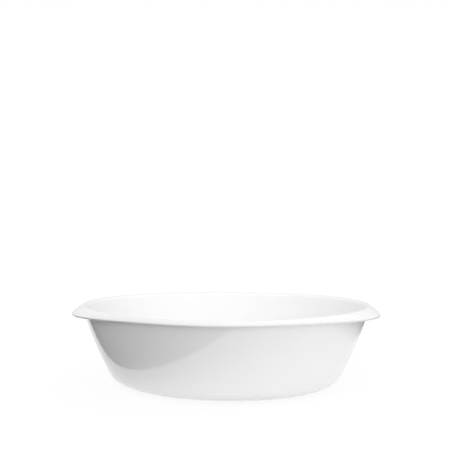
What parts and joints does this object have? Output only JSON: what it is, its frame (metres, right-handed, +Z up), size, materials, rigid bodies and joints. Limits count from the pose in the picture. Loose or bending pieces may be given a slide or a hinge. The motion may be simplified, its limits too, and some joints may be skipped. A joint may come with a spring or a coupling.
{
  "type": "oval gratin dish",
  "caption": "Deep oval oven dish of white glazed porcelain with an outward rim that widens into an ear at each end.",
  "frame": {"origin": "on the surface that the dish stands on, under its middle", "axes": "+X along the length from ear to ear, +Y across the dish, +Z up out of the open mouth"},
  "size_m": [0.29, 0.19, 0.075],
  "materials": {
    "white_glaze": "glossy"
  },
  "bodies": {
    "root": {"dish": "white_glaze"}
  },
  "joints": []
}
